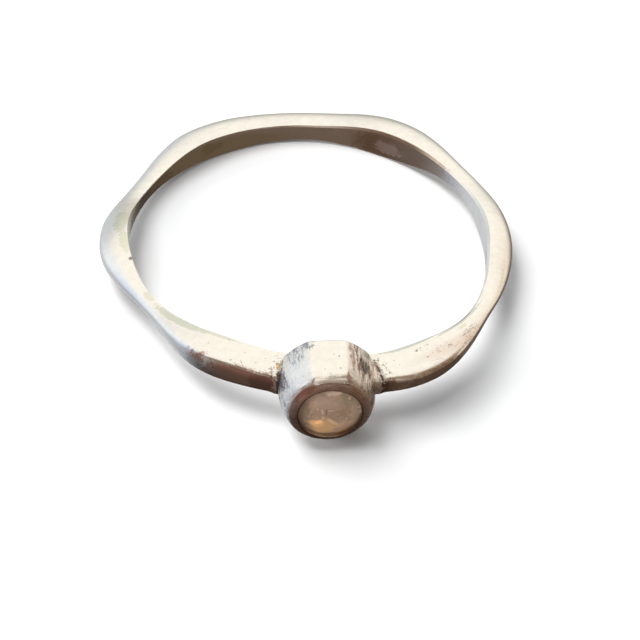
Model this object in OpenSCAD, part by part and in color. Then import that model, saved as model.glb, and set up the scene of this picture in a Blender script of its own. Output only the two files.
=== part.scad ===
// Small silver ring with a waved band and one faceted stone in a barrel-shaped setting.
// It lies on its side: the foot of the setting and two swells at the back touch the surface.

/* [Finger hole] */
// Radius of the round hole for the finger
finger_r = 8.6; // [8.3:0.05:8.8]
// How far the hole lies to the left of the middle, seen from the stone
hole_shift = 0.06; // [0:0.02:0.1]

/* [Band] */
// How far the rough band reaches inside the finger hole before it is bored
bore_allowance = 0.2; // [0.1:0.05:0.3]
// Standing back by this much or more, the inside is clear of the bore
stand_back_blend = 0.1; // [0.08:0.02:0.16]
// Sections round the band
band_sections = 144; // [72:12:180]
// Points along the rounded outside of one section
outside_points = 13; // [7:2:17]

/* [Setting] */
// Distance from the ring's centre to the back of the setting
setting_back = 9.05; // [8.95:0.05:9.15]
// Length of the setting from its back to the edge of its lip
setting_length = 2.6; // [2.4:0.05:2.6]
// How far the middle of the setting lies below the middle of the band
setting_drop = 0.04; // [0:0.02:0.1]
// Radius of the setting at its back
setting_back_r = 1.55; // [1.4:0.05:1.7]
// Radius of the setting at its widest
setting_r = 2.28; // [2.2:0.02:2.34]
// Height of the flat filed along the top of the setting, above its axis
flat_height = 2.14; // [2.08:0.02:2.2]
// Radius at the edge of the lip
lip_edge_r = 1.8; // [1.74:0.02:1.86]
// Share of the length at which the setting is widest
widest_share = 0.12; // [0.08:0.01:0.3]
// How far the lip leans on past its edge, up to the stone
lip_rise = 0.27; // [0.2:0.01:0.3]
// Angle by which the setting nods down towards the surface
setting_nod = 2; // [0:0.5:4]

/* [Stone] */
// Radius of the stone at its girdle
girdle_r = 1.57; // [1.56:0.01:1.6]
// Radius of the opening that shows the stone
opening_r = 1.45; // [1.43:0.01:1.47]
// Radius of the table across its corners
table_r = 0.9; // [0.8:0.05:1]
// Height of the crown above the girdle
crown_height = 0.36; // [0.3:0.02:0.4]
// Thickness of the girdle
girdle_height = 0.1; // [0.06:0.02:0.14]
// Depth of the pavilion below the girdle
pavilion_depth = 0.95; // [0.8:0.05:1]
// How far the table stands out of the opening
table_proud = 0.04; // [0:0.01:0.08]
// Air between stone and metal
stone_gap = 0.05; // [0.04:0.01:0.06]

/* [Rest] */
// Angle that the ring leans back when it lies on the foot of its setting
rest_tilt = 5.6; // [5:0.1:6]

/* [Hidden] */

// The band swells and narrows as it goes round. Each row is one swell or one waist:
// angle from the setting, radial depth, height above the middle plane, depth below it,
// ease of the upper inner edge, and squareness of the outside, where 2 is an ellipse.
WAVES = [
    [ -8, 1.78, 0.55, 0.55, 0.05, 6.0],
    [  8, 1.95, 0.50, 0.51, 0.05, 6.0],
    [ 24, 2.28, 0.44, 0.47, 0.06, 6.0],
    [ 60, 1.13, 0.27, 0.35, 0.06, 2.6],
    [ 90, 1.19, 0.82, 0.85, 0.07, 2.6],
    [118, 0.94, 0.55, 0.12, 0.05, 2.6],
    [150, 1.82, 0.78, 0.65, 0.06, 2.6],
    [175, 1.44, 0.44, 0.42, 0.05, 2.6],
    [209, 1.64, 0.50, 0.63, 0.04, 2.6],
    [239, 0.97, 0.03, 0.56, 0.04, 2.6],
    [269, 1.41, 0.81, 0.75, 0.07, 2.6],
    [299, 0.64, 0.38, 0.41, 0.05, 2.6],
    [331, 1.68, 0.76, 0.54, 0.04, 5.9],
    [352, 1.78, 0.55, 0.55, 0.05, 6.0]
];
DEPTH = 1;
TOP = 2;
BOTTOM = 3;
EASE = 4;
SQUARE = 5;
// Angles, and how far the inside of the band stands back from the bored hole there.
INSIDE = [[-8, 0], [22, 0.24], [46, 0.48], [84, 0], [352, 0]];

function row_before(rows, angle) = max([for (i = [0:len(rows) - 2]) if (rows[i][0] <= angle) i]);
function swing(share) = (1 - cos(180 * share)) / 2;
function between(rows, angle) =
    let (
        i = row_before(rows, angle),
        share = (angle - rows[i][0]) / (rows[i + 1][0] - rows[i][0])
    )
    rows[i] + (rows[i + 1] - rows[i]) * swing(share);
STAND_BACK = 6;
function wave(angle) = concat(between(WAVES, angle), between(INSIDE, angle)[1]);

// The rough band reaches inside the finger hole, except where its inside stands back.
function inside_r(w) =
    let (share = min(1, w[STAND_BACK] / stand_back_blend))
    finger_r + w[STAND_BACK] - bore_allowance * (1 - share);

// One section of the band as [distance from the axis, height] pairs: up the inside, then down the outside.
function outside_point(w, turn) =
    let (
        middle = (w[TOP] - w[BOTTOM]) / 2,
        half = (w[TOP] + w[BOTTOM]) / 2,
        out = pow(sin(turn), 2 / w[SQUARE]),
        up = sign(cos(turn)) * pow(abs(cos(turn)), 2 / w[SQUARE]),
        top_edge = finger_r + w[STAND_BACK] + w[EASE],
        inner = inside_r(w) + (top_edge - inside_r(w)) * (up + 1) / 2
    )
    [inner + (finger_r + w[DEPTH] - inner) * out, middle + half * up];
function section(w) = concat(
    [
        [inside_r(w), -w[BOTTOM]],
        [inside_r(w), (w[TOP] - w[BOTTOM]) / 2],
        [finger_r + w[STAND_BACK] + w[EASE], w[TOP]]
    ],
    [for (k = [1:outside_points]) outside_point(w, 180 * k / (outside_points + 1))]
);

// A point at this angle from the setting, which is on the -Y side.
function place(angle, p) = [p[0] * sin(angle), -p[0] * cos(angle), p[1]];
function section_angle(i) = WAVES[0][0] + 360 * i / band_sections;
BAND_POINTS = [
    for (i = [0:band_sections - 1])
        for (p = section(wave(section_angle(i)))) place(section_angle(i), p)
];
RING_OF = outside_points + 3;
BAND_FACES = [
    for (i = [0:band_sections - 1])
        for (k = [0:RING_OF - 1])
            let (
                next_i = (i + 1) % band_sections,
                next_k = (k + 1) % RING_OF,
                a = i * RING_OF + k,
                b = i * RING_OF + next_k,
                c = next_i * RING_OF + next_k,
                d = next_i * RING_OF + k
            )
            each [[a, d, c], [a, c, b]]
];

// The setting's outline: two quarter ellipses that meet where it is widest, then the lip.
CURVE_STEPS = 10;
widest = widest_share * setting_length;
back_curve = [
    for (k = [0:CURVE_STEPS])
        let (turn = 90 * k / CURVE_STEPS)
        [setting_back_r + (setting_r - setting_back_r) * sin(turn), widest * (1 - cos(turn))]
];
front_curve = [
    for (k = [1:CURVE_STEPS])
        let (turn = 90 * k / CURVE_STEPS)
        [lip_edge_r + (setting_r - lip_edge_r) * cos(turn), widest + (setting_length - widest) * sin(turn)]
];
opening_at = setting_length + lip_rise;
girdle_top = opening_at + table_proud - crown_height;
girdle_bottom = girdle_top - girdle_height;
culet_at = girdle_bottom - pavilion_depth;
crown_slope = crown_height / (girdle_r - table_r);
lip_under = girdle_top + (girdle_r - opening_r) * crown_slope + stone_gap / cos(atan(crown_slope));

// Lying down: the point of a rest pose is [x, y, z] after the lean.
function lean(p) = [
    p[0],
    p[1] * cos(rest_tilt) + p[2] * sin(rest_tilt),
    p[2] * cos(rest_tilt) - p[1] * sin(rest_tilt)
];
// Points of the setting's outline in the ring's middle cut, above and below its axis.
function in_ring(p, side) = [
    0,
    -setting_back - p[1] * cos(setting_nod) - side * p[0] * sin(setting_nod),
    side * p[0] * cos(setting_nod) - p[1] * sin(setting_nod) - setting_drop
];
SETTING_EDGE = concat(back_curve, front_curve, [[opening_r, opening_at]]);
LEANT = [
    for (p = BAND_POINTS) lean(p),
    for (p = SETTING_EDGE) each [lean(in_ring(p, 1)), lean(in_ring(p, -1))]
];
lowest = min([for (p = LEANT) p[2]]);
middle_x = (min([for (p = LEANT) p[0]]) + max([for (p = LEANT) p[0]])) / 2;
middle_y = (min([for (p = LEANT) p[1]]) + max([for (p = LEANT) p[1]])) / 2;

module lie_down() {
    translate([-middle_x, -middle_y, -lowest])
        rotate([-rest_tilt, 0, 0])
            children();
}

// Z of the setting's own frame becomes the way out of the ring, through the stone.
module at_setting() {
    translate([0, -setting_back, -setting_drop])
        rotate([90 + setting_nod, 0, 0])
            children();
}

module waved_band() {
    polyhedron(points = BAND_POINTS, faces = BAND_FACES, convexity = 6);
}

module barrel() {
    rotate_extrude($fn = 96)
        polygon(concat([[0, 0]], SETTING_EDGE, [[0, opening_at]]));
}

// What a file takes off the top of the setting. Its up is the setting frame's +Y.
module filed_off() {
    size = 2 * setting_r;
    translate([-size / 2, flat_height, -size / 2])
        cube([size, size, 2 * size]);
}

// The seat under the stone, the undercut at its girdle and the opening in the lip.
module seat() {
    seat_r = girdle_r + stone_gap;
    floor_at = culet_at - stone_gap * 2;
    rotate_extrude($fn = 96)
        polygon([
            [0, floor_at],
            [stone_gap, floor_at],
            [seat_r, girdle_bottom - stone_gap],
            [seat_r, girdle_top],
            [opening_r, lip_under],
            [opening_r, opening_at + 1],
            [0, opening_at + 1]
        ]);
}

module finger_hole() {
    hole_length = 4 * setting_r;
    translate([-hole_shift, 0, 0])
        cylinder(r = finger_r, h = hole_length, center = true, $fn = 144);
}

module band_with_setting() {
    color([0.84, 0.81, 0.76])
        lie_down()
            difference() {
                union() {
                    waved_band();
                    at_setting()
                        difference() {
                            barrel();
                            filed_off();
                        }
                }
                finger_hole();
                at_setting() seat();
            }
}

// The cut stone: a table, a crown of main and girdle facets, a girdle and a pavilion.
FACETS = 8;
function corner(r, h, turn) = [r * cos(turn), r * sin(turn), h];
function corner_ring(r, h, count, shift) = [
    for (k = [0:count - 1]) corner(r, h, 360 * (k + shift) / count)
];
STONE_POINTS = concat(
    corner_ring(table_r, opening_at + table_proud, FACETS, 0),
    corner_ring(girdle_r, girdle_top, 2 * FACETS, 0),
    corner_ring(girdle_r, girdle_bottom, 2 * FACETS, 0),
    [[0, 0, culet_at]]
);
STONE_FACES = concat(
    [[for (k = [FACETS - 1:-1:0]) k]],
    [
        for (k = [0:FACETS - 1])
            let (
                t = k,
                t_next = (k + 1) % FACETS,
                g = FACETS + 2 * k,
                g_mid = g + 1,
                g_next = FACETS + (2 * k + 2) % (2 * FACETS)
            )
            each [[t, t_next, g_mid], [t, g_mid, g], [t_next, g_next, g_mid]]
    ],
    [
        for (k = [0:2 * FACETS - 1])
            let (
                a = FACETS + k,
                b = FACETS + (k + 1) % (2 * FACETS),
                c = b + 2 * FACETS,
                d = a + 2 * FACETS
            )
            each [[a, b, c], [a, c, d]]
    ],
    [
        for (k = [0:2 * FACETS - 1])
            let (
                d = 3 * FACETS + k,
                c = 3 * FACETS + (k + 1) % (2 * FACETS)
            )
            [d, c, 5 * FACETS]
    ]
);

module stone() {
    color([0.80, 0.64, 0.50])
        lie_down()
            at_setting()
                polyhedron(points = STONE_POINTS, faces = STONE_FACES);
}

band_with_setting();
stone();
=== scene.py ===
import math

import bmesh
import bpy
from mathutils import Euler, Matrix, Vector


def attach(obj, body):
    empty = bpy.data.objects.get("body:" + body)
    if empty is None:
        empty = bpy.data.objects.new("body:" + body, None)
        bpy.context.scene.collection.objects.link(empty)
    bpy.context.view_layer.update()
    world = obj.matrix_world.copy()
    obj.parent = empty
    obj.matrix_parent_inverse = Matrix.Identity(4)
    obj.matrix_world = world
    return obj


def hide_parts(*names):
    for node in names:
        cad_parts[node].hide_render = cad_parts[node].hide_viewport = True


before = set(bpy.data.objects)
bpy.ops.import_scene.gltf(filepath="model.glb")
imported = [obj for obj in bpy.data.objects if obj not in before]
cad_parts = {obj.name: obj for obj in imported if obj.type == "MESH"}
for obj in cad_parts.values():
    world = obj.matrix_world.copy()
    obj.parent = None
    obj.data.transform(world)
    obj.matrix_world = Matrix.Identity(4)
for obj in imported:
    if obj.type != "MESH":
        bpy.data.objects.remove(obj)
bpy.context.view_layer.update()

# %% [markdown]
# # A waved silver ring with a peach moonstone
#
# This lesson builds one small ring in Blender. The silver band is forged into waves, a barrel-shaped
# setting is soldered to it, and a faceted stone sits in the setting.
# The ring was first drawn as plain solids at its real size. Those solids are loaded above, and they
# are the frame that every piece here has to fit. The ring lies on its side on a pale floor.

MM = 0.001


def in_mm(lengths):
    """Lengths in metres as rounded millimetres, for printing."""
    return [round(length / MM, 2) for length in lengths]


# %% [markdown]
# ## Working in edit mode from a script
#
# A person clicks on a point and drags it. A script has to say which point it means, and the sure way
# is by place: "all points above this height". One small helper makes a piece the only
# selected one, the next one selects what passes a test, and the others save repeating.
# The loaded solids arrive selected, so everything is deselected before anything is made.

# %% Selecting by place
def only(piece):
    """Deselects everything and makes one piece the selected and active one."""
    bpy.ops.object.select_all(action="DESELECT")
    piece.select_set(True)
    bpy.context.view_layer.objects.active = piece


def pick(piece, test, kind="VERT"):
    """In edit mode, selects the points, edges or faces for which the test holds."""
    bpy.ops.mesh.select_mode(type=kind)
    mesh = bmesh.from_edit_mesh(piece.data)
    parts = {"VERT": mesh.verts, "EDGE": mesh.edges, "FACE": mesh.faces}
    for part in mesh.faces[:] + mesh.edges[:] + mesh.verts[:]:
        part.select = False
    for part in [part for part in parts[kind] if test(part)]:
        part.select = True
    mesh.select_flush_mode()
    bmesh.update_edit_mesh(piece.data, loop_triangles=False, destructive=False)


def open_all(piece):
    """Opens a piece in edit mode with all of it selected."""
    only(piece)
    bpy.ops.object.mode_set(mode="EDIT")
    pick(piece, lambda v: True)


def close():
    """Leaves edit mode."""
    bpy.ops.object.mode_set(mode="OBJECT")


def extrude(move):
    """Draws a new part out of the selected one and moves it."""
    bpy.ops.mesh.extrude_region_move(TRANSFORM_OT_translate={"value": move})


def push(move):
    """Moves what is selected."""
    bpy.ops.transform.translate(value=move)


def resize(shares, pivot):
    """Scales what is selected about a place."""
    bpy.ops.transform.resize(value=shares, center_override=pivot)


def settle(piece):
    """Puts the piece's place and turn into its mesh, so that its object sits at the origin."""
    only(piece)
    bpy.ops.object.transform_apply(location=True, rotation=True, scale=True)


def apply_modifier(piece, kind, **settings):
    """Adds one modifier, sets it and applies it at once."""
    only(piece)
    modifier = piece.modifiers.new(kind.title(), kind)
    for name, value in settings.items():
        setattr(modifier, name, value)
    bpy.ops.object.modifier_apply(modifier=modifier.name)


bpy.ops.object.select_all(action="DESELECT")
print("Loaded nodes:", sorted(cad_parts))

# %% [markdown]
# ## The band: a forged bar
#
# A silversmith makes such a band from a straight bar. The bar is hammered until it swells and narrows
# in turn, then it is bent round a steel mandrel and its ends are soldered.
# The same way works here. A bar that is drawn out along X is easy to scale across, because its sections
# stand square to the axis. Shaping it after the bending would need a turned scale at every section.
#
# Each row of the table is one swell or one waist, with its angle from the stone. The other columns are
# the depth of the metal outwards, its height above and below the middle, the ease of its upper inner
# edge, and how square the outside is above and below its middle. Two is an ellipse, six is nearly a
# box. A second small table says where the inside stands back from the round hole, and by how much.

# %% The waves, in millimetres
FINGER_R = 8.6
HOLE_SHIFT = 0.06
DEPTH, TOP, BOTTOM, EASE, SQUARE_TOP, SQUARE_LOW = 1, 2, 3, 4, 5, 6
WAVES = [
    [-8, 1.78, 0.55, 0.55, 0.05, 6.0, 6.0],
    [8, 1.95, 0.50, 0.51, 0.05, 4.9, 6.0],
    [24, 2.28, 0.44, 0.47, 0.06, 3.8, 6.0],
    [60, 1.13, 0.27, 0.35, 0.06, 2.6, 2.6],
    [90, 1.19, 0.82, 0.85, 0.07, 2.6, 2.6],
    [118, 0.94, 0.55, 0.12, 0.05, 2.6, 2.6],
    [150, 1.82, 0.78, 0.65, 0.06, 2.6, 2.6],
    [175, 1.44, 0.44, 0.42, 0.05, 2.6, 2.6],
    [209, 1.64, 0.50, 0.63, 0.04, 2.6, 2.6],
    [239, 0.97, 0.03, 0.56, 0.04, 2.1, 2.6],
    [269, 1.41, 0.81, 0.75, 0.07, 2.0, 2.6],
    [299, 0.64, 0.38, 0.41, 0.05, 2.2, 2.6],
    [331, 1.68, 0.76, 0.54, 0.04, 5.9, 5.9],
    [352, 1.78, 0.55, 0.55, 0.05, 6.0, 6.0],
]
INSIDE = [[-8, 0.0], [22, 0.24], [46, 0.48], [84, 0.0], [352, 0.0]]


def between(rows, angle):
    """What a table says at an angle: an easy swing from the row before to the row after."""
    angle = (angle + 8) % 360 - 8
    after = next(i for i, row in enumerate(rows) if row[0] > angle)
    a, b = rows[after - 1], rows[after]
    share = (1 - math.cos(math.pi * (angle - a[0]) / (b[0] - a[0]))) / 2
    return [x + (y - x) * share for x, y in zip(a, b)]


depths = [row[DEPTH] for row in WAVES]
print("Deepest swell:", max(depths), "mm; thinnest waist:", min(depths), "mm")

# %% [markdown]
# ## The first section
#
# The bar starts as a circle of points that stands across the X axis. Its inner half is pressed flat,
# as the mandrel presses it, and the rest stays round. The flat side lies at Y = 0 and the outside
# goes towards -Y, because the bending turns Y = 0 into the wall of the finger hole.

# %% A circle becomes the first section
SECTION_POINTS = 32
WALL_SHARE = 0.85
TINY = 1e-3 * MM
BAR_R = FINGER_R * MM
bar_start = -math.pi * BAR_R

bpy.ops.mesh.primitive_circle_add(
    vertices=SECTION_POINTS, radius=MM, fill_type="NOTHING",
    location=(bar_start, 0, 0), rotation=(0, math.pi / 2, 0))
band = bpy.context.object
band.name = "silver_metal"
settle(band)
bpy.ops.object.mode_set(mode="EDIT")
pick(band, lambda v: v.co.y > TINY)
resize((1, 0, WALL_SHARE), (bar_start, 0, 0))
print("First section:", len(bmesh.from_edit_mesh(band.data).verts), "points, 2 mm high, 1 mm deep")

# %% [markdown]
# ## Forging: one step, one blow
#
# From here the bar grows by extrusion. Each step moves the newest section along X, scales it to the
# next depth and height, and lifts it where the swell is higher above the middle than below it.
# Where the section turns from round to square, the pairs of points at one distance from the top
# are pushed outwards, which fills the corners. Near the setting the steps are short, because
# the solder makes the metal flare there.

# %% Drawing out the bar
STEP, FINE_STEP, FINE_FROM, FINE_TO = 2.0, 0.4, 11.9, 16.1
FLARE_FROM, FLARE_TO, FLARE = 13.4, 15.4, 0.05


def section_at(angle):
    """Where the section's pivot is, and its depth, half height and squareness, in metres."""
    w = between(WAVES, angle)
    shift = HOLE_SHIFT * math.sin(math.radians(angle))
    back = between(INSIDE, angle)[1] - shift
    flare = FLARE * max(0.0, 1 - max(0.0, abs(angle) - FLARE_FROM) / (FLARE_TO - FLARE_FROM)) ** 2
    return {
        "pivot": Vector((math.radians(angle) * BAR_R, -back * MM, (w[TOP] - w[BOTTOM]) / 2 * MM)),
        "deep": (w[DEPTH] - back + flare) * MM,
        "half": ((w[TOP] + w[BOTTOM]) / 2 + flare) * MM,
        "square": {1: w[SQUARE_TOP], -1: w[SQUARE_LOW]},
        "ease": (w[EASE] + shift) * MM,
    }


def corner_share(turn, square):
    """How far out and how high a point of the outside lies, at a turn from the top, on a unit section."""
    return math.sin(turn) ** (2 / square), math.cos(turn) ** (2 / square)


angles = [-180.0]
while angles[-1] < 180.0 - 1e-6:
    fine = FINE_FROM <= abs(angles[-1]) <= FINE_TO
    angles.append(min(180.0, round(angles[-1] + (FINE_STEP if fine else STEP), 3)))

now = {"pivot": Vector((bar_start, 0, 0)), "deep": MM, "half": MM,
       "square": {1: 2.0, -1: 2.0}, "ease": 0.0}
for number, angle in enumerate(angles):
    new = section_at(angle)
    move = new["pivot"] - now["pivot"]
    if number == 0:
        pick(band, lambda v: True)
        push(move)
    else:
        extrude(move)
    resize((1, new["deep"] / now["deep"], new["half"] / now["half"]), new["pivot"])
    for side in (1, -1):
        square, new_square = now["square"][side], new["square"][side]
        if abs(new_square - square) < 1e-4:
            continue
        for k in range(1, SECTION_POINTS // 4):
            turn = 2 * math.pi * k / SECTION_POINTS
            out, up = corner_share(turn, square)
            new_out, new_up = corner_share(turn, new_square)
            y = new["pivot"].y - new["deep"] * out
            z = new["pivot"].z + side * new["half"] * up
            pick(band, lambda v: (v.co - Vector((new["pivot"].x, y, z))).length < TINY)
            resize((1, new_out / out, new_up / up), new["pivot"])
    edge = new["pivot"].z + new["half"]
    pick(band, lambda v: abs(v.co.x - new["pivot"].x) < TINY and abs(v.co.z - edge) < TINY)
    push((0, now["ease"] * new["deep"] / now["deep"] - new["ease"], 0))
    pick(band, lambda v: abs(v.co.x - new["pivot"].x) < TINY)
    now = new
print("The bar has", len(angles), "sections and", len(bmesh.from_edit_mesh(band.data).faces), "faces so far")
close()
print("Bar length, mm:", round(band.dimensions.x / MM, 2))

# %% [markdown]
# ## Bending the bar round
#
# The Simple Deform modifier bends a mesh about Z by an angle, here one full turn. The two ends then
# lie on each other, and merging them is the solder joint of the band. The bend leaves the
# ring's centre one radius away from the origin, so the ring is moved back by that much.

# %% From bar to ring
apply_modifier(band, "SIMPLE_DEFORM", deform_method="BEND", deform_axis="Z", angle=2 * math.pi)
open_all(band)
bpy.ops.mesh.remove_doubles(threshold=TINY)
push((0, -BAR_R, 0))
bpy.ops.mesh.normals_make_consistent(inside=False)
close()
inner = min(math.hypot(v.co.x, v.co.y) for v in band.data.vertices) / MM
print("Ring bent; least inner radius, mm:", round(inner, 3), "size:", in_mm(band.dimensions))

# %% [markdown]
# ## Small unevenness
#
# Nothing that is filed by hand is quite even, and a polished surface shows it: the reflections waver.
# A Displace modifier with a soft cloud pattern moves the surface in and out by a few hundredths of a
# millimetre. It could be done with a bump in the material too, but then the outline
# would stay perfectly smooth.

# %% Hand-filed unevenness
def waver(piece, name, size, strength):
    """Moves the surface in and out along its normals by a cloud pattern; sizes in millimetres."""
    clouds = bpy.data.textures.new(name, "CLOUDS")
    clouds.noise_scale = size * MM
    clouds.noise_depth = 1
    apply_modifier(piece, "DISPLACE", texture=clouds, texture_coords="LOCAL",
                   strength=strength * MM, mid_level=0.5)


waver(band, "file_waves", 2.0, 0.045)
print("Band after filing, mm:", in_mm(band.dimensions))

# %% [markdown]
# ## The setting: a barrel turned from its outline
#
# The setting is a short thick tube that is closed at its back and pressed in at its front, over the
# stone. On a lathe it would be cut from its outline. Here a disc is extruded along the outline:
# forward and outwards to the widest place, on towards the lip, inwards over the lip and then back
# down inside, where the stone's seat is. One closed skin comes out of it, with no need for a
# cut. Most outline points come from two quarter ellipses. The shoulder and the rim are tables of radius
# and height over the body's length.

# %% The setting's outline
SETTING_BACK, SETTING_DROP, NOD = 9.05, 0.04, math.radians(2)
LENGTH, BACK_R, WIDE_R, LIP_R, OPENING_R = 2.6, 1.55, 2.28, 1.80, 1.45
WIDEST, LIP_RISE = 0.30, 0.27
SEAT_R, SEAT_TOP, SEAT_BOTTOM, SEAT_FLOOR, DRILL_R = 1.62, 2.55, 2.40, 1.40, 0.05
SHOULDER = [(1.94, -0.10), (1.85, 0.0)]
RIM = [(1.79, 0.045), (1.71, 0.10), (1.60, 0.17), (1.51, 0.235), (1.47, 0.255),
       (OPENING_R, 0.235), (OPENING_R, 0.07)]
CURVE_STEPS, STEPS_LEFT_OUT = 14, 4
axis_point = Vector((0, -SETTING_BACK * MM, -SETTING_DROP * MM))


def barrel_r(along):
    """The barrel's radius at a length from its back, both in millimetres."""
    if along < WIDEST:
        return BACK_R + (WIDE_R - BACK_R) * math.sqrt(max(0.0, 1 - (1 - along / WIDEST) ** 2))
    return LIP_R + (WIDE_R - LIP_R) * math.sqrt(max(0.0, 1 - ((along - WIDEST) / (LENGTH - WIDEST)) ** 2))


quarter = [math.pi / 2 * k / CURVE_STEPS for k in range(1, CURVE_STEPS + 1)]
body = [WIDEST * (1 - math.cos(turn)) for turn in quarter]
body += [WIDEST + (LENGTH - WIDEST) * math.sin(turn) for turn in quarter[:-STEPS_LEFT_OUT]]
body = [(barrel_r(along), along) for along in body] + [(r, LENGTH + rise) for r, rise in SHOULDER]
mouth = [(r, LENGTH + rise) for r, rise in RIM]
mouth += [(SEAT_R, SEAT_TOP), (SEAT_R, SEAT_BOTTOM), (DRILL_R, SEAT_FLOOR)]
print("Body of", len(body), "rings; widest radius, mm:", max(r for r, along in body))

# %% [markdown]
# ## Filed facets
#
# The real barrel isn't round all over. A file has left a flat stripe along its top, and flatter
# places beside it. Cutting the barrel with planes would leave large faces with many corners, which
# shade badly. Here each ring of points is pressed flat by itself: those that stand higher than the
# file's path are brought down to it. A turned set of axes tells the resize operator which way is down.
#
# Each row gives the facet's angle round the barrel from its top, half its width in millimetres, and
# how much of the roundness the file left.

# %% One ring, filed
FILED_TO, FOOT_RINGS = 2.40, 4
LIP_FACET = [(0, 0.80, 0.20)]
FACETS = [(0, 0.80, 0.04), (-41, 0.58, 0.55), (40, 0.56, 0.6), (80, 0.50, 0.7), (-82, 0.55, 0.7)]


def file_ring(piece, along, ring_r, facets):
    """Presses the ring that stands at a length from the barrel's back against each facet."""
    ring_y = axis_point.y - along * MM
    for side, half_width, left_round in facets:
        turn = math.radians(side)
        outwards = Vector((math.sin(turn), 0, math.cos(turn)))
        across = Vector((math.cos(turn), 0, -math.sin(turn)))
        path = math.sqrt(ring_r ** 2 - half_width ** 2) * MM
        middle = Vector((axis_point.x, ring_y, axis_point.z))
        pick(piece, lambda v: abs(v.co.y - ring_y) < TINY and (v.co - middle).dot(outwards) > path - TINY)
        bpy.ops.transform.resize(
            value=(1, 1, left_round), center_override=middle + outwards * path,
            orient_matrix=(across, (0, 1, 0), outwards), orient_matrix_type="GLOBAL")


print("Flat stripe on top:", 2 * FACETS[0][1], "mm wide, and", len(FACETS) - 1, "softer facets")

# %% Turning the barrel
BARREL_POINTS = 144


def draw_out(rings, r_now, along_now):
    """Extrudes the selection to each ring in turn; a ring has a radius and a length from the back."""
    for r_new, along_new in rings:
        extrude((0, -(along_new - along_now) * MM, 0))
        scale = r_new / r_now
        resize((scale, 1, scale), axis_point)
        r_now, along_now = r_new, along_new


bpy.ops.mesh.primitive_circle_add(
    vertices=BARREL_POINTS, radius=BACK_R * MM, fill_type="NGON",
    location=axis_point, rotation=(math.pi / 2, 0, 0))
barrel = bpy.context.object
settle(barrel)
bpy.ops.object.mode_set(mode="EDIT")
bpy.ops.mesh.select_all(action="SELECT")
draw_out(body, BACK_R, 0.0)
print("Barrel drawn out:", len(bmesh.from_edit_mesh(barrel.data).faces), "faces")

# %% The mouth, and the filing
draw_out(mouth, *body[-1])
for r_ring, along_ring in body[FOOT_RINGS:]:
    file_ring(barrel, along_ring, r_ring, FACETS if along_ring < FILED_TO else LIP_FACET)
pick(barrel, lambda v: True)
bpy.ops.mesh.normals_make_consistent(inside=False)
bpy.ops.transform.rotate(value=-NOD, orient_axis="X", center_override=axis_point)
close()
waver(barrel, "barrel_waves", 0.9, 0.04)
print("Barrel after filing, mm:", in_mm(barrel.dimensions))

# %% [markdown]
# ## Soldering: one solid
#
# Solder joins band and barrel into a single piece of metal, so the two meshes become one too. A
# Boolean union keeps their outer skins and drops what lies inside.

# %% Union of band and barrel
apply_modifier(band, "BOOLEAN", operation="UNION", solver="EXACT", object=barrel)
bpy.data.objects.remove(barrel)
open_all(band)
bpy.ops.mesh.remove_doubles(threshold=0.5 * TINY)
close()
print("Metal in one piece:", len(band.data.vertices), "points")

# %% [markdown]
# ## Lying down
#
# So far the ring stands square on its own axis. On the floor it leans: it rests on the foot of
# the setting and on two swells at the back. The solids say by how much, 5.6 degrees, and where the
# ring's centre then is.

# %% Leaning the ring
LEAN = math.radians(5.6)
CENTRE = Vector((0.110, 0.980, 1.413)) * MM
SMOOTH_UNDER = math.radians(28)


def lie_down(piece):
    """Leans a piece back about the ring's centre and puts it on the floor."""
    open_all(piece)
    bpy.ops.transform.rotate(value=LEAN, orient_axis="X", center_override=(0, 0, 0))
    push(CENTRE)
    close()


lie_down(band)
lowest = min(v.co.z for v in band.data.vertices)
open_all(band)
push((0, 0, -lowest))
close()
bpy.ops.object.shade_smooth_by_angle(angle=SMOOTH_UNDER)
print("The ring was lifted by", round(-lowest / MM, 3), "mm, so that it stands on the floor")

# %% [markdown]
# ## The stone
#
# The stone is cut as a round brilliant. From above it shows an eight-sided table, eight star facets
# round it, eight kites and sixteen small facets down to the girdle. Below is a cone of plain facets, which
# the setting hides.
# A cylinder with sixteen sides already has the girdle's corners. Its top is drawn up twice, and then
# every second point of the middle ring is pushed up into the table's corners.

# %% Drawing up the crown
GIRDLE_R, TABLE_R, CROWN, GIRDLE, PAVILION = 1.57, 0.90, 0.36, 0.10, 0.95
STAR_R = 1.28
EIGHTH = math.pi / 4
star_high = CROWN * (GIRDLE_R - STAR_R * math.cos(EIGHTH / 2)) / (GIRDLE_R - TABLE_R)
bpy.ops.mesh.primitive_cylinder_add(
    vertices=16, radius=GIRDLE_R * MM, depth=GIRDLE * MM, end_fill_type="NGON")
stone = bpy.context.object
stone.name = "cut_stone"
settle(stone)
bpy.ops.object.mode_set(mode="EDIT")
girdle_top = GIRDLE / 2 * MM
r_now, high_now = GIRDLE_R, 0.0
pick(stone, lambda f: f.normal.z > 0.9, "FACE")
for r_new, high_new in ((STAR_R, star_high), (TABLE_R, CROWN)):
    extrude((0, 0, (high_new - high_now) * MM))
    resize((r_new / r_now, r_new / r_now, 1), (0, 0, 0))
    r_now, high_now = r_new, high_new
print("Star tips stand", round(star_high, 3), "mm over the girdle")


# %% Stars and kites
def eighths(v):
    """How far a point's angle is from the nearest of the eight table corners, as a share of a step."""
    steps = math.atan2(v.co.y, v.co.x) / EIGHTH
    return abs(steps - round(steps))


def at(v, high):
    """Whether a point stands at a height over the girdle, in millimetres."""
    return abs(v.co.z - girdle_top - high * MM) < TINY


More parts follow.
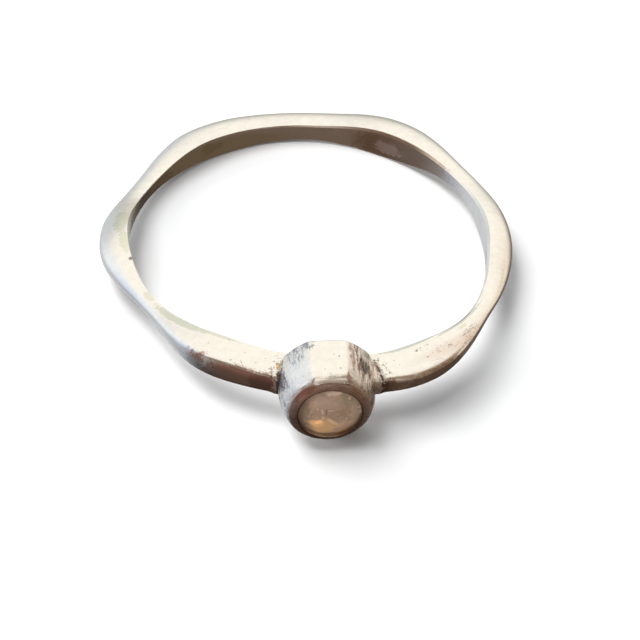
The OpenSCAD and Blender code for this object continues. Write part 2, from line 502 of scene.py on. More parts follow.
pick(stone, lambda v: at(v, star_high) and eighths(v) < 0.1)
resize((TABLE_R / STAR_R, TABLE_R / STAR_R, 1), (0, 0, 0))
push((0, 0, (CROWN - star_high) * MM))
pick(stone, lambda v: True)
bpy.ops.mesh.remove_doubles(threshold=TINY)
pick(stone, lambda e: any(at(v, CROWN) and eighths(v) > 0.4 for v in e.verts)
     and any(at(v, star_high) for v in e.verts), "EDGE")
bpy.ops.mesh.dissolve_edges(use_verts=False)
pick(stone, lambda v: at(v, CROWN) and eighths(v) > 0.4)
bpy.ops.mesh.dissolve_verts()
pick(stone, lambda v: at(v, star_high) or (at(v, 0) and eighths(v) < 0.1))
bpy.ops.mesh.vert_connect()
pick(stone, lambda f: f.normal.z < -0.9, "FACE")
extrude((0, 0, -PAVILION * MM))
bpy.ops.mesh.merge(type="CENTER")
pick(stone, lambda v: True)
bpy.ops.mesh.normals_make_consistent(inside=False)
bpy.ops.mesh.dissolve_limited(angle_limit=math.radians(0.3))
print("Stone cut:", len(bmesh.from_edit_mesh(stone.data).faces), "facets")

# %% [markdown]
# ## Setting the stone
#
# The stone is turned so that its table faces out of the barrel, and pushed to its seat. Then it lies
# down with the ring. The edges between its facets are a little worn: a very narrow bevel
# catches the light as they do.

# %% Stone in its seat
STONE_TOP = LENGTH + LIP_RISE + 0.04
WORN_EDGE = 0.012
push((0, 0, (STONE_TOP - CROWN - GIRDLE / 2) * MM))
bpy.ops.transform.rotate(value=-math.pi / 2 - NOD, orient_axis="X", center_override=(0, 0, 0))
push(axis_point)
close()
lie_down(stone)
apply_modifier(stone, "BEVEL", width=WORN_EDGE * MM, segments=2,
               limit_method="ANGLE", angle_limit=math.radians(4))
print("Stone with worn edges:", len(stone.data.polygons), "faces")

# %% [markdown]
# ## Writing a finish as an expression
#
# A finish in Blender is a tree of nodes, and a pattern often needs thirty small maths nodes. Written out
# one by one they hide the idea. The class below wraps one socket, so that `1 - mask * 0.5` makes its own
# Math nodes, and `height.rise(1, 2)` a soft step. Any other node comes from one method, which takes the
# node's kind, the values or wires of its sockets and its settings.

# %% A wire and a bench of nodes
def sign(operation):
    """A method that makes the Math node for one sign of arithmetic."""
    return lambda first, second: first.bench.maths(operation, first, second)


class Wire:
    """One output socket. Sums, products and powers of wires make their own Math nodes."""

    def __init__(self, bench, socket):
        self.bench, self.socket = bench, socket

    __add__ = __radd__ = sign("ADD")
    __mul__ = __rmul__ = sign("MULTIPLY")
    __sub__ = sign("SUBTRACT")
    __truediv__ = sign("DIVIDE")
    __pow__ = sign("POWER")

    def __rsub__(self, other):
        return self.bench.maths("SUBTRACT", other, self)

    def rise(self, low, high):
        """From 0 at low to 1 at high, with soft ends."""
        return self.bench.node("MapRange", {"Value": self, "From Min": low, "From Max": high},
                               {"interpolation_type": "SMOOTHSTEP"})

    def fall(self, low, high):
        """From 1 at low to 0 at high, with soft ends."""
        return (self * -1).rise(-high, -low)


class Bench:
    """The node tree of a material or a world, with one way to add a node and a few patterns."""

    def __init__(self, owner):
        owner.use_nodes = True
        self.owner, self.tree = owner, owner.node_tree
        self.tree.nodes.clear()

    def node(self, kind, sockets=None, settings=None, out=0):
        made = self.tree.nodes.new("ShaderNode" + kind)
        for name, value in (settings or {}).items():
            setattr(made, name, value)
        for name, value in (sockets or {}).items():
            if isinstance(value, Wire):
                self.tree.links.new(value.socket, made.inputs[name])
            else:
                made.inputs[name].default_value = value
        return Wire(self, made.outputs[out]) if made.outputs else None

    def maths(self, operation, first, second=0.0):
        return self.node("Math", {0: first, 1: second}, {"operation": operation})

    def blend(self, mask, under, over):
        """One colour over another, where the mask says; a colour is a wire or six hex digits."""
        under, over = [colour(c) if isinstance(c, str) else c for c in (under, over)]
        return self.node("Mix", {0: mask, 6: under, 7: over}, {"data_type": "RGBA"}, out=2)

    def noise(self, place, scale, detail=2.0, rough=0.5):
        """A cloud pattern, from about 0.3 to 0.7; its scale is in spots per millimetre."""
        return self.node("TexNoise", {
            "Vector": place, "Scale": scale, "Detail": detail, "Roughness": rough})

    def parts(self, vector):
        """The three numbers of a vector."""
        split = self.node("SeparateXYZ", {0: vector}).socket.node
        return [Wire(self, socket) for socket in split.outputs]

    def biggest(self, first, second):
        return self.maths("MAXIMUM", first, second)

    def dress(self, piece, sockets):
        """Ends a material with its shader and puts it on a piece."""
        self.node("OutputMaterial", {"Surface": self.node("BsdfPrincipled", sockets)})
        piece.data.materials.clear()
        piece.data.materials.append(self.owner)


def colour(code):
    """A colour that is read off as six hex digits, as the light values that nodes use."""
    shares = [int(code[i:i + 2], 16) / 255 for i in (0, 2, 4)]
    return [s / 12.92 if s <= 0.04045 else ((s + 0.055) / 1.055) ** 2.4 for s in shares] + [1.0]


print("Cream as light values:", [round(x, 2) for x in colour("fef5e6")])

# %% [markdown]
# ## Where on the ring is this point?
#
# Stains and scratches sit at certain places of the ring, so the finish has to know where each point is.
# Object coordinates are in metres and lean with the ring. A Mapping node turns them upright again and
# brings them to millimetres. From there the angle round the ring, the distance from its axis
# and the height above its middle follow. A second Mapping node does the same for the setting, whose
# own Z goes out through the stone.

# %% Ring coordinates and setting coordinates
TO_DEGREES = 180 / math.pi


def upright(bench):
    """Millimetres in the ring's own frame, with its axis along Z."""
    back = -CENTRE / MM
    back.rotate(Euler((LEAN, 0, 0)))
    place = bench.node("TexCoord", out=3)
    return bench.node("Mapping", {
        "Vector": place, "Location": back, "Rotation": (LEAN, 0, 0), "Scale": (1 / MM, 1 / MM, 1 / MM)})


def round_the_ring(bench, place):
    """Angle from the setting in degrees, 0 to 360, distance from the axis and height, in mm."""
    x, y, z = bench.parts(place)
    turn = bench.maths("ARCTAN2", x * -1, y)
    return turn * TO_DEGREES + 180, (x * x + y * y) ** 0.5, z


def round_the_setting(bench, place):
    """In the setting's own frame, in mm: to the right, up, out through the stone, and from its axis."""
    turn = -math.pi / 2 - NOD
    shift = Vector((0, SETTING_BACK, SETTING_DROP))
    shift.rotate(Euler((turn, 0, 0)))
    own = bench.node("Mapping", {"Vector": place, "Location": shift, "Rotation": (turn, 0, 0)})
    x, y, z = bench.parts(own)
    return x, y, z, (x * x + y * y) ** 0.5


print("The stone looks up from the floor by", round(math.degrees(LEAN - NOD), 1), "degrees")

# %% [markdown]
# ## The silver
#
# Worn silver is a bright, slightly warm metal. Its colour hardly varies, but its surface does: fine
# scratches, small pits, grey-green tarnish with ragged edges and brown dirt in the solder.
# A mark is a soft-edged spot at a place on the ring, and noise frays its edge. One helper makes such a
# spot from three distances. It works in ring coordinates, where a place starts with its angle in
# degrees, and in setting coordinates.

# %% The bench for the silver
MM_PER_DEGREE = 0.166
bench = Bench(bpy.data.materials.new("worn_silver"))
place = upright(bench)
angle, radius, height = round_the_ring(bench, place)
right, up, out, from_axis = round_the_setting(bench, place)
on_band = (angle * MM_PER_DEGREE, radius, height)
on_setting = (right, up, out)
fray = bench.noise(place, 2.6, 6.0, 0.68)
grain = bench.noise(place, 11.0, 4.0, 0.6)
frayed = (fray - 0.5) * 1.6 + (grain - 0.5) * 1.1
rubbed = bench.node("Mapping", {"Vector": place, "Scale": (5.5, 1.1, 3.0)})
streak = bench.noise(rubbed, 1.0, 5.0, 0.62)
crumbs = bench.noise(place, 4.6, 6.0, 0.72)


def near(wires, where, reach, fray_by, soft=0.22):
    """A frayed spot: 1 within its reach of a place, 0 outside it. All in mm but the band's angle."""
    if wires is on_band:
        where = (where[0] * MM_PER_DEGREE, *where[1:])
    parts = [(wire - middle) / far for wire, middle, far in zip(wires, where, reach)]
    distance = (parts[0] * parts[0] + parts[1] * parts[1] + parts[2] * parts[2]) ** 0.5
    return 1 - (distance + frayed * fray_by).rise(1 - soft, 1 + soft)


print("One degree round the band is", MM_PER_DEGREE, "mm long")

# %% [markdown]
# ## The marks, one by one
#
# Each row is one mark as it shows on the ring: its place, its reach, its colour, how dense it is, how
# ragged its edge is and how much duller the metal gets there. Most colours are films or dirt. Some rows
# on the band are painted: shade along the right inner edge and inside the left, reflections inside the
# back, and a dark reflection added to the tarnish of the front walls. The first list is on the band, with
# the angle in degrees. The second one is on the setting, to the right, up and out.

# %% Marks on the band and on the setting
BAND_MARKS = [
    ("sage film on the left swell", (262, 8.98, 0.75), (1.10, 0.34, 0.5), "cdd0b4", 0.60, 1.5, 0.08),
    ("sage film below it", (273, 8.84, 0.80), (0.75, 0.24, 0.5), "d6d9be", 0.55, 1.1, 0.08),
    ("pit at its edge", (280.5, 8.74, 0.70), (0.11, 0.09, 0.3), "8a7068", 0.80, 0.6, 0.20),
    ("film at the left waist", (297, 8.80, 0.40), (0.42, 0.18, 0.5), "dadbc4", 0.55, 0.9, 0.08),
    ("film along the inner edge", (312.5, 8.86, 0.50), (1.70, 0.22, 0.6), "c8cfbf", 0.65, 0.9, 0.10),
    ("its thin end", (326, 8.74, 0.70), (1.30, 0.10, 0.5), "cfd2c2", 0.60, 0.6, 0.10),
    ("grey film under the crease", (325, 9.98, 0.05), (0.55, 0.36, 0.45), "a9aea0", 0.60, 1.3, 0.10),
    ("rosy chips on the crease", (326, 10.08, 0.42), (0.62, 0.15, 0.26), "b58878", 0.75, 2.2, 0.12),
    # The front walls are tarnished, and their colour also holds a painted dark reflection of what stands in
    # front of the ring.
    ("tarnish with painted dark reflection by the solder", (338, 10.25, 0.10), (1.90, 0.36, 0.6), "b08e82", 0.65, 0.9, 0.05),
    ("tarnish with painted dark reflection at the solder", (343.5, 10.28, 0.10), (0.60, 0.30, 0.6), "7a5a50", 0.50, 1.2, 0.05),
    ("golden solder", (347.4, 9.66, 0.65), (0.13, 0.22, 0.25), "eebd70", 0.90, 2.4, 0.08),
    ("pale bits in it", (347.6, 9.70, 0.65), (0.09, 0.16, 0.2), "fbeec0", 0.95, 2.4, 0.05),
    ("dirt in the left solder", (347.6, 10.25, 0.00), (0.10, 0.36, 0.7), "5a4234", 0.85, 1.9, 0.25),
    ("line at the left solder", (348.2, 9.95, 0.40), (0.06, 0.55, 0.7), "4d3526", 0.85, 2.0, 0.20),
    ("dirt in the right solder", (13.8, 10.20, 0.30), (0.06, 0.80, 0.7), "50331f", 0.90, 2.6, 0.25),
    ("brown film on the wall by it", (15.6, 10.70, 0.15), (0.24, 0.14, 0.40), "8a6654", 0.75, 2.0, 0.10),
    ("dirt low on the wall by it", (14.6, 10.64, -0.10), (0.14, 0.16, 0.40), "5f4534", 0.80, 2.2, 0.25),
    # Tarnish on the right wall, darkened further by a painted dark reflection.
    ("tarnish with painted dark reflection on the right wall", (31, 10.72, 0.02), (2.70, 0.24, 0.30), "a8907c", 0.75, 0.7, 0.08),
    # Painted shade on the rounded right inner edge, grey-green, in two rows.
    ("painted shade along the rounded right inner edge", (28, 8.97, 0.45), (2.00, 0.11, 0.5), "bcc4c0", 0.70, 1.0, 0.10),
    ("its far end", (46, 9.15, 0.40), (1.70, 0.08, 0.5), "bcc2bc", 0.60, 0.9, 0.10),
    ("green smudge on the right", (44.5, 9.42, 0.35), (0.30, 0.11, 0.4), "d6d2b4", 0.45, 2.2, 0.10),
    ("brown spot at the right edge", (78, 9.86, 0.38), (0.16, 0.08, 0.3), "8a6f68", 0.70, 1.0, 0.12),
    ("smudge before it", (64, 9.95, 0.25), (0.60, 0.10, 0.3), "d0c0a6", 0.55, 1.4, 0.10),
    # Painted shade: the inside of the ring at the left is darkened.
    ("painted shade inside the left", (243, 8.60, -0.30), (3.30, 0.10, 0.6), "8f8a80", 0.80, 0.5, 0.08),
    ("dark green tone inside the back", (209, 8.62, -0.05), (0.65, 0.30, 0.30), "9a9a6a", 0.55, 2.0, 0.15),
    ("olive tone all along it", (212, 8.60, -0.20), (4.80, 0.10, 0.6), "dcd6b0", 0.60, 0.5, 0.05),
    # Painted reflections inside the back: a brown one on the right wall and a pale rosy spot.
    ("painted brown reflection inside the right back", (140, 8.60, 0.00), (3.30, 0.12, 1.2), "c4ae9a", 0.90, 0.4, 0.08),
    ("painted rosy reflection inside the back", (148, 8.60, -0.05), (0.80, 0.16, 0.34), "fff4f2", 0.60, 1.1, 0.25),
]
SETTING_MARKS = [
    ("dark film on the right", (1.66, 1.46, 1.35), (0.30, 0.48, 0.55), "5c5450", 0.90, 1.2, 0.20),
    ("thin dark film beside it", (1.05, 1.85, 0.75), (0.18, 0.30, 0.25), "8a7b72", 0.65, 2.6, 0.20),
    ("blue film on the left", (-1.35, 1.75, 0.40), (0.70, 0.48, 0.38), "8c93a2", 0.75, 2.8, 0.15),
    ("blue specks on the left edge", (-2.10, 0.30, 1.55), (0.24, 0.90, 0.32), "7c8492", 0.75, 2.9, 0.15),
    ("rosy solder on the right", (2.15, 0.85, 0.60), (0.25, 0.50, 0.50), "d6bbac", 0.60, 1.5, 0.10),
    ("green tone on the back", (0.10, 2.00, 0.05), (1.10, 0.60, 0.11), "cdd3bc", 0.65, 0.8, 0.10),
]

base = bench.blend(fray.rise(0.35, 0.65), "f8f5ef", "f2efe9")
dull = grain * 0.10 + 0.09
# Each colour is laid on in turn: films, dirt, and the rows of painted shade and reflection.
for marks, wires in ((BAND_MARKS, on_band), (SETTING_MARKS, on_setting)):
    for title, where, reach, film, dense, ragged, duller in marks:
        spot = near(wires, where, reach, ragged) * dense
        if wires is on_setting:
            spot = spot * (streak * 0.55 + grain * 0.45).rise(0.44, 0.53)
        base = bench.blend(spot, base, film)
        dull = dull + spot * duller
print(len(BAND_MARKS) + len(SETTING_MARKS), "marks laid on the silver")

# %% [markdown]
# ## Crumbs of dirt
#
# Dirt that is left from soldering and polishing sits in groups of small dark specks. One noise pattern is
# sharpened until only its highest places are left, and a soft spot says where the group is. On the
# setting, the streaks take the place of the crumbs, so the specks there are long and thin.

# %% Groups of dark specks
SPECKS = [
    ("on the right", on_band, crumbs, (28.0, 9.42, 0.45), (0.42, 0.20, 0.4), "7a6450", 0.56),
    ("along the right crease", on_band, crumbs, (39, 9.98, 0.40), (1.50, 0.16, 0.4), "9a8272", 0.55),
    ("by the right solder", on_band, crumbs, (15.2, 10.05, 0.40), (0.26, 0.85, 0.5), "5a4030", 0.54),
    ("by the left solder", on_band, crumbs, (346.2, 9.75, 0.60), (0.26, 0.70, 0.5), "6e5040", 0.55),
    ("on the left wall", on_band, crumbs, (327, 10.10, 0.30), (1.20, 0.26, 0.4), "5f463c", 0.56),
    ("on the setting's edge", on_setting, streak, (-2.05, 0.35, 1.50), (0.30, 1.20, 0.9), "50586a", 0.55),
    ("on the setting's left", on_setting, streak, (-1.35, 1.70, 0.50), (0.75, 0.60, 0.6), "566074", 0.54),
    ("on the setting's right", on_setting, streak, (1.50, 1.50, 1.00), (0.60, 0.60, 1.2), "6a5648", 0.54),
]
for title, wires, pattern, where, reach, film, least in SPECKS:
    spot = near(wires, where, reach, 0.5, 0.4) * pattern.rise(least, least + 0.05)
    base = bench.blend(spot * 0.8, base, film)
    dull = dull + spot * 0.2
print(len(SPECKS), "groups of specks")

# %% [markdown]
# ## Facets, streaks and the pressed lip
#
# The sides of the setting were rubbed in one direction, towards the stone, so they show long streaks.
# The right side has a rosy film, the left side a cool one. The lip was pressed over the stone and hardly
# polished after that: it keeps a brown film that is redder at its upper left. One dark blotch sits on the
# right side, and dark lines run over the lip's top edge. Close round the stone a painted shadow darkens the
# lip.
# The films and the painted shadow are gathered in one list and laid on in its order.

# %% Sides of the setting, and the lip's own tones
at_setting = from_axis.fall(2.38, 2.50) * out.rise(-0.10, 0.05)
beside = bench.maths("ABSOLUTE", right)
sides = at_setting * beside.rise(0.80, 0.92) * out.fall(LENGTH - 0.05, LENGTH + 0.03)
brown_film = streak.rise(0.50, 0.57) * (fray.rise(0.42, 0.56) * 0.6 + 0.2)
cool_film = streak.rise(0.52, 0.66) * 0.3
lip = at_setting * (out + frayed * 0.03).rise(LENGTH - 0.01, LENGTH + 0.03)
lip = lip * from_axis.rise(1.40, 1.46)
polar = bench.maths("ARCTAN2", right, up)
lip_grain = bench.node("CombineXYZ", {0: polar * 1.4, 1: from_axis * 9.0, 2: out * 9.0})
lip_grain = bench.noise(lip_grain, 1.0, 5.0, 0.65)
setting_tones = [
    ("brown film on the right side", sides * right.rise(0.6, 1.0) * brown_film, "b49282"),
    ("cool film on the left side", sides * right.fall(-1.0, -0.6) * cool_film, "c3cbdc"),
    ("the lip's own tone", lip, "dccdc2"),
    ("rubbed places of the lip", lip * lip_grain.rise(0.46, 0.62) * 0.55, "fffaf4"),
    ("its brown grain", lip * lip_grain.fall(0.36, 0.46) * 0.75, "9a8474"),
]
print(len(setting_tones), "films under the marks")

# %% Marks on the lip
LIP_MARKS = [
    ("red film at the upper left", (-1.15, 1.28, 2.66), (0.62, 0.50, 0.10), "bc7c7a", 0.70, 1.4),
    ("purple film on the left", (-1.66, 0.10, 2.70), (0.25, 1.10, 0.20), "b89894", 0.60, 0.9),
    ("grey film at the top", (-0.10, 1.72, 2.66), (0.35, 0.15, 0.06), "e4dce0", 0.75, 0.9),
    ("dark dent in the top edge", (0.45, 1.70, 2.63), (0.45, 0.15, 0.03), "6a5a50", 0.85, 0.8),
    ("worn rosy place", (0.72, 1.42, 2.76), (0.26, 0.24, 0.12), "fff0e4", 0.80, 1.0),
    ("red film at the upper right", (1.12, 1.25, 2.74), (0.34, 0.34, 0.20), "c8a296", 0.55, 1.6),
    ("dark lower edge", (0.10, -1.80, 2.50), (1.30, 0.22, 0.22), "94806f", 0.80, 0.8),
    ("green-grey film low on the right", (1.45, -0.75, 2.70), (0.60, 0.70, 0.20), "dcd8c8", 0.60, 1.0),
]
for title, where, reach, film, dense, ragged in LIP_MARKS:
    spot = near(on_setting, where, reach, ragged) * (0.45 + lip_grain.rise(0.40, 0.56) * 0.55)
    setting_tones.append((title, spot * lip * dense, film))
over_top = near(on_setting, (0.15, 1.80, 2.54), (0.85, 0.18, 0.09), 0.5, 0.5)
blotch = near(on_setting, (1.60, 1.52, 1.40), (0.20, 0.36, 0.42), 1.0, 0.35)
setting_tones += [
    ("brown edge towards the stone", lip * (from_axis - frayed * 0.05).fall(1.56, 1.74) * 0.5, "8c7262"),
    ("dark line over the top", over_top * 0.7, "86705f"),
    ("dark blotch on the right side", blotch * 0.75, "5e564f"),
    # Painted shadow: the lip is darkened close round the stone.
    ("shadow round the stone", lip * (from_axis - frayed * 0.02).fall(1.495, 1.545) * 0.85, "5c4636"),
]
for title, mask, film in setting_tones:
    base = bench.blend(mask, base, film)
dull = dull + lip * 0.14
print(len(setting_tones), "films laid on the setting")

# %% [markdown]
# ## Scratches and pits
#
# Pits are the cells of a Voronoi pattern: a small dark hole at the middle of some cells, chosen by
# each cell's own random colour. Scratches are thin lines where a stretched noise crosses its middle.
# Both are pressed into the surface by a Bump node as well, in millimetres, so that they catch the light.

# %% Pits and scratches
GROUPED_PITS, FINE_PITS, LONE_PITS = (2.1, 0.040, 0.16), (4.4, 0.024, 0.10), (0.8, 0.036, 0.18)


def pits(scale, size, share):
    """Small holes seen from above: cells per millimetre, hole radius and the share of cells with one."""
    cells = bench.node("TexVoronoi", {"Vector": place, "Scale": scale}, {"voronoi_dimensions": "2D"})
    cells = cells.socket.node
    lot = bench.parts(Wire(bench, cells.outputs[1]))[0]
    hole = 1 - (Wire(bench, cells.outputs[0]) / scale).rise(size * 0.5, size)
    return hole * lot.rise(1 - share, 1.04 - share)


left_top = near(on_band, (337, 9.45, 0.75), (1.9, 0.75, 0.45), 0.3, 0.3)
right_top = near(on_band, (26, 9.50, 0.45), (1.6, 0.70, 0.45), 0.3, 0.3)
stripe = near(on_setting, (0.0, 2.00, 1.20), (0.75, 0.50, 1.20), 0.2, 0.3)
facing_up = bench.parts(bench.node("TexCoord", out=1))[2]
holes = bench.biggest(pits(*GROUPED_PITS), pits(*FINE_PITS))
holes = holes * bench.biggest(left_top, bench.biggest(right_top, stripe))
holes = bench.biggest(holes, pits(*LONE_PITS)) * facing_up.rise(0.70, 0.90)
base = bench.blend(holes * 0.7, base, "8a7464")
along_band = bench.node("CombineXYZ", {0: on_band[0] * 0.7, 1: radius * 7.0, 2: height * 7.0})
hair = bench.noise(along_band, 1.6, 4.0, 0.6) - 0.5
hair = 1 - bench.maths("ABSOLUTE", hair).rise(0.002, 0.012)
hair = hair * bench.noise(place, 1.1, 2.0).rise(0.50, 0.60)
worked = near(on_band, (40, 10.02, 0.40), (2.4, 0.34, 0.5), 0.8, 0.5)
base = bench.blend(hair * worked * 0.8, base, "967e70")
base = bench.blend(worked * 0.40, base, "dcc0ae")
print("The widest pits are", 2 * GROUPED_PITS[1], "mm across")

# %% Relief, and the finished silver
LEFT_SOLDER, RIGHT_SOLDER = (347.6, 10.0, 0.2), (14.0, 10.2, 0.2)
PIT_DEEP, SCRATCH_DEEP = 0.020, 0.010
dirt = bench.biggest(near(on_band, LEFT_SOLDER, (0.16, 0.8, 0.8), 1.0, 0.3),
                     near(on_band, RIGHT_SOLDER, (0.16, 0.9, 0.8), 1.0, 0.3))
relief = holes * -PIT_DEEP + hair * (worked * -SCRATCH_DEEP - 0.0012)
relief = relief + (grain - 0.5) * (dirt * 0.10 + 0.004)
relief = relief + (fray - 0.5) * (sides * 0.05 + lip * 0.03 + 0.004) + (streak - 0.5) * sides * 0.05
bumps = bench.node("Bump", {"Height": relief, "Distance": MM, "Strength": 1.0})
bench.dress(band, {"Base Color": base, "Metallic": 1.0, "Roughness": dull, "Normal": bumps})
print("The silver takes", len(bench.tree.nodes), "nodes")

# %% [markdown]
# ## The stone's body
#
# A peach moonstone is cloudy: light goes in, scatters and comes out soft and warm. It looks darker at its
# upper left, lighter at its lower right, and a warm glow sits low inside it, where light leaves
# through its back. The facets of the cone behind it show through as faint lighter and darker patches.
# The diffuse colour paints all of it: painted shade at the upper left, painted light at the lower right, the
# glow, painted highlights on the edges and the cone's facets as painted reflections. A little light of its
# own, an emission, stands for what the cone throws back, and a clear coat gives the polish. Each row of the
# table is
# one patch: its place to the right and up and its reach, in millimetres, its turn in degrees, its colour,
# how dense it is and how ragged.

# %% Stone
bench = Bench(bpy.data.materials.new("peach_stone"))
place = upright(bench)
right, up = round_the_setting(bench, place)[:2]
cloud = bench.noise(place, 1.4, 3.0)
fine = bench.noise(place, 6.0, 4.0, 0.6)
# The patches are painted light, shade and reflections: the glow and light rows are painted highlights.
STONE_PATCHES = [
    ("painted shade on the left side", (-1.24, -0.03), (0.42, 1.00), 0, "6a5848", 0.85, 0.4),
    ("pinkish upper part", (-0.23, 0.88), (0.85, 0.48), 0, "977e6e", 0.60, 0.8),
    ("brown upper right", (0.85, 0.90), (0.52, 0.42), 0, "897660", 0.70, 0.8),
    ("painted light on the right side", (1.18, 0.18), (0.32, 0.60), 0, "9a846f", 0.60, 0.8),
    ("dark place right of the middle", (0.61, 0.12), (0.36, 0.28), 0, "7e634c", 0.65, 1.0),
    ("tan fan at the bottom", (-0.22, -0.78), (0.52, 0.62), 0, "ad875d", 0.80, 0.7),
    ("pale ray", (0.14, -0.42), (0.40, 0.09), -38, "bd9d74", 0.55, 0.9),
    ("pinkish lower right", (0.68, -0.68), (0.50, 0.28), 20, "a0816a", 0.60, 0.8),
    ("warm edge of the glow", (-0.60, -0.48), (0.40, 0.22), -15, "c4935f", 0.75, 1.2),
    ("glow", (-0.52, -0.38), (0.22, 0.13), 15, "e8ae78", 0.75, 1.3),
    ("light on the top edge", (0.13, 1.22), (0.36, 0.10), 0, "bfa793", 0.80, 1.4),
    ("light at the upper right", (0.85, 0.90), (0.06, 0.09), 0, "bda58c", 0.70, 0.6),
    ("light at the right edge", (1.33, 0.28), (0.09, 0.05), 0, "bfa890", 0.70, 0.6),
    ("light low at the right edge", (1.40, -0.04), (0.06, 0.12), 20, "bfa890", 0.70, 0.6),
    ("dark facet line in the middle", (-0.18, 0.22), (0.035, 0.20), 0, "5c4838", 0.60, 1.0),
    ("dash beside it", (-0.36, 0.23), (0.035, 0.20), 12, "c9ae92", 0.50, 1.0),
    ("dash across", (0.02, 0.30), (0.17, 0.035), 5, "c4aa8e", 0.50, 1.0),
    ("small dash", (-0.60, 0.42), (0.05, 0.09), 10, "bda38a", 0.45, 1.0),
    ("dash under the crack", (-0.32, -0.12), (0.05, 0.10), -20, "c9ab84", 0.45, 1.0),
    ("amber rim", (0.56, -1.20), (0.42, 0.09), 22, "94622e", 0.80, 0.8),
]
body = bench.blend(cloud.rise(0.35, 0.65), "846d5a", "907661")
for title, (to_right, to_up), (reach_right, reach_up), turned, tint, dense, ragged in STONE_PATCHES:
    cos_t, sin_t = math.cos(math.radians(turned)), math.sin(math.radians(turned))
    a = ((right - to_right) * cos_t + (up - to_up) * sin_t) / reach_right
    b = ((up - to_up) * cos_t - (right - to_right) * sin_t) / reach_up
    spot = 1 - ((a * a + b * b) ** 0.5 + (fine - 0.5) * ragged).rise(0.6, 1.25)
    body = bench.blend(spot * dense, body, tint)
body = bench.blend(fine.rise(0.56, 0.70) * 0.35, body, "b39a82")
# The emission is painted light: the stone glows faintly in its own painted colours.
bench.dress(stone, {
    "Base Color": body, "Roughness": 0.22, "Subsurface Weight": 0.30, "Subsurface Scale": 0.0003,
    "Subsurface Radius": (1.0, 0.6, 0.4), "Coat Weight": 0.6, "Coat Roughness": 0.06,
    "Emission Color": body, "Emission Strength": 0.40})
print("The stone takes", len(bench.tree.nodes), "nodes")

# %% [markdown]
# ## The surface it lies on
#
# A plain pale sheet, wide enough to fill the picture. It is nearly white and quite matt, so that it only
# takes the ring's shadows. The metal doesn't mirror it: the room's own lower half stands in for it,
# which keeps the undersides as dark as they are on the real ring.

# %% Floor
FLOOR_WIDE = 6
bpy.ops.mesh.primitive_plane_add(size=FLOOR_WIDE, location=(0, 0, 0))
floor = bpy.context.object
floor.name = "floor"
bench = Bench(bpy.data.materials.new("pale_floor"))
bench.dress(floor, {"Base Color": colour("f8f8f8"), "Roughness": 1.0, "Specular IOR Level": 0.0})
floor.visible_glossy = False
print("The floor is", floor.dimensions.x, "m wide")

# %% [markdown]
# ## Soft lamps
#
# The shadows on the floor tell where the light comes from: a dark one inside the left of the ring and one
# under the right of the setting. So two lamps stand high on the left, and two low ones, on the left
# and behind, fill in. Even the smallest is 18 degrees wide, because the shadows have soft edges. The
# lamps are kept out of the metal's mirror images, which come from the room alone.
#
# A row gives a lamp's compass side, its height over the horizon and its width, in degrees, and its
# strength.

# %% Light
LAMPS = [
    ("left_light", -100, 18, 36, 2.2),
    ("high_light", -62, 60, 36, 2.1),
    ("top_light", -113, 74, 18, 0.6),
    ("far_light", -8, 20, 34, 2.0),
]
LAMP_AWAY = 0.3
for name, side, lift, wide, strength in LAMPS:
    turn, tilt = math.radians(side), math.radians(lift)
    towards = Vector((math.sin(turn) * math.cos(tilt), math.cos(turn) * math.cos(tilt), math.sin(tilt)))
    bpy.ops.object.light_add(type="SUN", location=towards * LAMP_AWAY)
    lamp = bpy.context.object
    lamp.name = name
    lamp.data.energy = strength
    lamp.data.angle = math.radians(wide)
    lamp.rotation_euler = towards.to_track_quat("Z", "Y").to_euler()
    lamp.visible_glossy = False
print("Lamps:", [row[0] for row in LAMPS])

# %% [markdown]
# ## The room in the metal
#
# Polished metal has hardly a colour of its own: it shows the room. This room is painted by direction.
# The compass side runs from -180 to 180 degrees, with 0 straight behind the ring, and the lift is the
# height over the horizon. A cool window stands on the left, a pale wall behind, warm brown things on the
# right and in front, and a cream ceiling above. Each tone blends into the next one, from side to side.
# Only mirror rays see this room. All other rays get a weak even light.

# %% Room
world = bpy.data.worlds.new("studio")
bpy.context.scene.world = world
bench = Bench(world)
x, y, z = bench.parts(bench.node("TexCoord", out=0))
side = bench.maths("ARCTAN2", x, y) * TO_DEGREES
lift = bench.maths("ARCSINE", z) * TO_DEGREES


def by_lift(low, high, under, over):
    """One tone below a height, the other above it, with a soft change from low to high."""
    return bench.blend(lift.rise(low, high), under, over)


cream = "fffbf2"
dark = by_lift(-58, 55, "62544a", "826d5f")
in_front = side.rise(125, 150) + side.fall(-150, -125)
dark = bench.blend(lift.rise(30, 58) * in_front, dark, "d2c8bc")
red_corner = side.fall(-140, -118) * side.rise(-178, -158)
red_corner = red_corner * lift.rise(-32, -12) * lift.fall(0, 26)
dark = bench.blend(red_corner * 0.7, dark, "a07a70")
edge = by_lift(14, 42, by_lift(-58, -8, "4f4b4b", "a49c9a"), "85766c")
window = bench.blend(side.rise(-88, -62), "dbe6fb", "f4f9ff")
window = by_lift(34, 56, by_lift(-62, 12, "8a8d98", window), cream)
grey = by_lift(10, 44, "c9cdd2", cream)
far = by_lift(-14, 26, "abaaa3", cream)
rosy = by_lift(-28, 16, "7c7068", "faf3e8")
brown = by_lift(-36, 26, "5a524c", "f3e6d6")
STRETCHES = ((-134, -112, edge), (-106, -80, window), (-66, -27, grey),
             (-20, 5, far), (20, 34, rosy), (38, 56, brown))
seen = dark
for low, high, tone in STRETCHES:
    seen = bench.blend(side.rise(low, high), seen, tone)
bow = lift.rise(24, 42) + lift.fall(-12, 2)
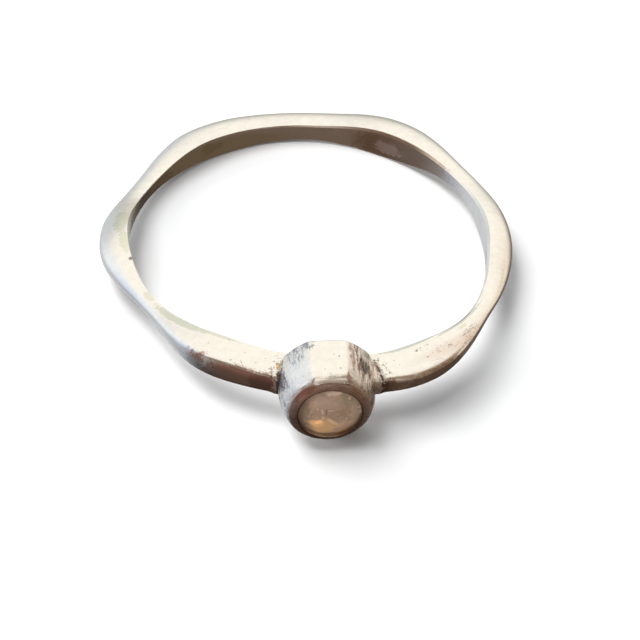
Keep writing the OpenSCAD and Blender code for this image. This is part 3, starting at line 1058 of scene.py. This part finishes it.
seen = bench.blend((side + bow * 28).rise(82, 100), seen, dark)
print(len(STRETCHES), "tones from side to side, and the dark front")

# %% Roof, open sky and the light on the floor
roof = (lift + (side - 45) * 0.67).rise(38, 50) * side.rise(48, 66)
seen = bench.blend(roof * side.fall(120, 145), seen, "8d7967")
open_sky = (side.rise(-98, -72) * side.fall(18, 36)
            + side.rise(130, 148) + side.fall(-172, -155))
seen = bench.blend(lift.rise(52, 76) * open_sky, seen, cream)
shine = lift.fall(-40, -28) * side.rise(-80, -50) * side.fall(-8, 8)
seen = bench.blend(shine, seen, "c8cbd0")
seen = by_lift(-64, -54, "46382f", seen)
room = bench.node("Background", {"Color": seen, "Strength": 1.08})
soft = bench.node("Background", {"Color": (0.88, 0.94, 1, 1), "Strength": 0.12})
glossy = bench.node("LightPath", out="Is Glossy Ray")
both = bench.node("MixShader", {0: glossy, 1: soft, 2: room})
bench.node("OutputWorld", {"Surface": both})
bpy.context.scene.view_settings.view_transform = "Standard"
print("The room takes", len(bench.tree.nodes), "nodes")

# %% [markdown]
# ## The camera
#
# It looks down on the ring from the front at about 43 degrees from straight down, from far away and with
# a long lens, so that the near and far sides of the ring differ little in size.

# %% Camera
CAMERA_AT = (-0.0132385, -0.106029, 0.1106337)
CAMERA_TURN = [math.radians(turn) for turn in (43.2187, -2.6845, -4.6842)]
LENS_MM, FILM_MM = 180, 36
bpy.ops.object.camera_add(location=CAMERA_AT, rotation=CAMERA_TURN)
camera = bpy.context.object
camera.data.lens = LENS_MM
camera.data.sensor_width = FILM_MM
camera.data.clip_start = 0.01
camera.data.clip_end = 10
bpy.context.scene.camera = camera
print("The camera is", round(camera.location.length / MM), "mm from the ring")

# %% [markdown]
# ## The pieces join the ring's body
#
# Each finished piece rides on the ring's one body, and the plain solid of the construction that it stands
# for is hidden.

# %% Onto the ring's body
for piece, slot, node in ((band, "silver", "band_with_setting"), (stone, "stone", "stone")):
    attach(piece, "root")
    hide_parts(node)
